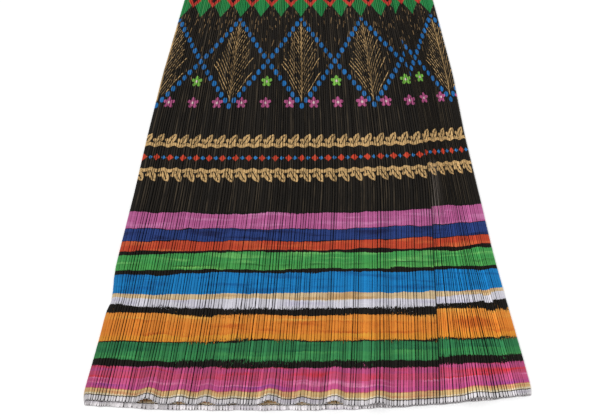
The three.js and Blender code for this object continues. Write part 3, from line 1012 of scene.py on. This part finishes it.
def waistband_mesh():
    rows = np.array(BAND_ROWS)[:, None]
    steps = np.arange(GATHERS * GATHER_POINTS + 1) / GATHER_POINTS
    top_line = np.interp(steps, np.arange(GATHERS + 1), gather_ends)
    under_line = RIGHT_FOLD * (1 + np.linspace(0, 1, UNDER_POINTS))
    inner_gap = LAYER_GAP / 2
    # valley is how much painted shade each place takes, most between the gathers.
    outside, inside, valley = [], [], []

    def fold(side):
        angle = BAND_FOLD_ANGLES if side < 0 else BAND_FOLD_ANGLES[::-1]
        level, turn = rows + 0 * angle[None, :], angle[None, :] + 0 * rows
        radius = FOLD_RADIUS * (0.55 + 0.45 * band_edge(level))
        outside.append(round_fold(side, level, turn, radius))
        inner = round_fold(side, level, turn, inner_gap)
        inner[..., 2] += UNDER_WALL + inner_gap - FOLD_RADIUS
        inside.append(inner)
        valley.append(FLAT_SHADE + 0 * level)

    fold(-1)
    line, level = top_line[None, :] + 0 * rows, rows + 0 * top_line[None, :]
    out = np.stack([band_out(top_line, row) for row in BAND_ROWS])
    outside.append(on_top(line, level, out))
    inside.append(on_top(line, level, 0 * level))
    valley.append(np.stack([1 - gather_height(top_line, row)[0] for row in BAND_ROWS]))
    fold(1)
    line, level = under_line[None, :] + 0 * rows, rows + 0 * under_line[None, :]
    lift = UNDER_WALL * 0.5 * (1 - band_edge(level))
    outside.append(underneath(line, level, lift))
    inside.append(underneath(line, level, UNDER_WALL + 0 * level))
    valley.append(FLAT_SHADE + 0 * level)
    outer, inner = np.concatenate(outside, axis=1), np.concatenate(inside, axis=1)
    columns = np.arange(outer.shape[1])[None, :] + 0 * rows
    values = (columns * 0.6, rows + 0 * columns, np.concatenate(valley, axis=1))
    return shell("waistband_casing", outer, inner, True, values)


waistband = waistband_mesh()


def casing_finish():
    made, n, inputs = start_finish(
        "black_casing", Roughness=0.75, Specular_IOR_Level=0.2, Sheen_Weight=0.08)
    x, y, _ = n.parts(n.result("ShaderNodeTexCoord", (), "Object"))
    faded = n.noise(x * 160.0, y * 40.0, 3.0)
    fluff = n.noise(x * 1500.0, y * 1500.0, 6.0)
    valley = n.result("ShaderNodeAttribute", (), "Fac", attribute_name="crease")
    # Painted shade darkens the valleys between the gathers, and the noise varies the black at random.
    light = 0.95 + (faded * 0.6 + fluff * 0.3) - valley * 1.15
    n.feed(inputs["Base Color"], n.shade(BLACK_CLOTH, light))
    add_bump(n, inputs, n.use(plain_weave, across=x, along=y, fine=1600.0), 0.4, 0.0003)
    return made


black_casing = casing_finish()
waistband.data.materials.append(black_casing)
waistband.data.materials.append(black_casing)
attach(waistband, "root")
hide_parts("waistband")

# The stitches: short lengths of thread, each dipping into the cloth at both ends.
STITCH_LENGTH, STITCH_PITCH, STITCH_RADIUS = 2.3, 2.9, 0.22
STITCH_RISE = 0.16
STITCH_SIDES = 5
STITCH_STEPS = np.linspace(-1, 1, 5)
STITCHED_WIDTH = 342.0


def stitches(name, surface, width):
    """Rows of stitches on a surface, a function of how far across it is, 0 to 1, and the level."""
    points, faces = [], []
    for row in STITCH_ROWS:
        count = int(width / STITCH_PITCH)
        for k in range(count):
            middle = (k + 0.5) / count
            shares = middle + STITCH_STEPS * STITCH_LENGTH / 2 / width
            route = surface(np.clip(shares, 0.002, 0.998), row)
            bulge = np.sqrt(np.clip(1 - 0.85 * STITCH_STEPS**2, 0, 1))
            start = len(points)
            ahead = route[-1] - route[0]
            ahead = ahead / np.linalg.norm(ahead)
            along_leg = np.array([0.0, 1.0, 0.0])
            off_cloth = np.cross(ahead, along_leg)
            for p, b in zip(route, bulge):
                heart = p + off_cloth * STITCH_RISE * (b - 0.4)
                for a in 2 * np.pi * np.arange(STITCH_SIDES) / STITCH_SIDES:
                    spoke = np.cos(a) * along_leg + np.sin(a) * off_cloth
                    points.append(heart + STITCH_RADIUS * b * spoke)
            faces += tube_faces(start, len(route), STITCH_SIDES)
    return new_piece(name, np.array(points), faces)


def casing_top(share, level):
    line = share * RIGHT_FOLD
    return on_top(line, level + 0 * line, band_out(line, level))


waistband_stitches = stitches("waistband_stitches", casing_top, STITCHED_WIDTH)
waistband_stitches.data.materials.append(thread_finish("black_thread", BLACK_THREAD, THREAD_TWIST))
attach(waistband_stitches, "root")

# --------------------------------------------------------------------------------------------------
# Where it lies: a plain pale floor, lit a little from below, soft light from all round and a large
# soft lamp high on the left.
FLOOR_SIZE, FLOOR_DROP, FLOOR_GLOW = 12, 0.0005, 0.12
ROOM_LIGHT, LAMP_LIGHT, LAMP_SPREAD = 0.72, 1.25, math.radians(30)
LAMP_PLACE = Vector((-1.2, -0.6, 2.4))
bpy.ops.object.select_all(action="DESELECT")
bpy.ops.mesh.primitive_plane_add(size=FLOOR_SIZE, location=(0, 0, -FLOOR_DROP))
floor = bpy.context.object
floor.name = "floor"
paper, _, _ = start_finish(
    "pale_floor", Base_Color=(0.9, 0.9, 0.9, 1), Roughness=0.9,
    Emission_Color=(1, 1, 1, 1), Emission_Strength=FLOOR_GLOW)
floor.data.materials.append(paper)
floor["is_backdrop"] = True

world = bpy.data.worlds.new("soft_room")
bpy.context.scene.world = world
world.use_nodes = True
world.node_tree.nodes["Background"].inputs["Color"].default_value = (1, 1, 1, 1)
world.node_tree.nodes["Background"].inputs["Strength"].default_value = ROOM_LIGHT
lamp_data = bpy.data.lights.new("soft_lamp", "SUN")
lamp_data.energy = LAMP_LIGHT
lamp_data.angle = LAMP_SPREAD
lamp = bpy.data.objects.new("soft_lamp", lamp_data)
lamp.location = LAMP_PLACE
lamp.rotation_euler = (-LAMP_PLACE).to_track_quat("-Z", "Y").to_euler()
bpy.context.scene.collection.objects.link(lamp)
bpy.context.scene.view_settings.view_transform = "Standard"

# The camera looks down on the skirt from its hem end.
ELEVATION = math.radians(55)
DISTANCE = 1.976
AIM = ORIGIN + Vector((-0.012, 0.3147, 0.0))
LENS_WIDTHS = 1400 / 600
SENSOR_WIDTH = 36
camera_data = bpy.data.cameras.new("camera")
camera_data.sensor_width = SENSOR_WIDTH
camera_data.lens = SENSOR_WIDTH * LENS_WIDTHS
camera_data.clip_end = 50
camera = bpy.data.objects.new("camera", camera_data)
camera.location = AIM + DISTANCE * Vector((0, -math.cos(ELEVATION), math.sin(ELEVATION)))
camera.rotation_euler = (math.pi / 2 - ELEVATION, 0, 0)
bpy.context.scene.collection.objects.link(camera)
bpy.context.scene.camera = camera

low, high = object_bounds()
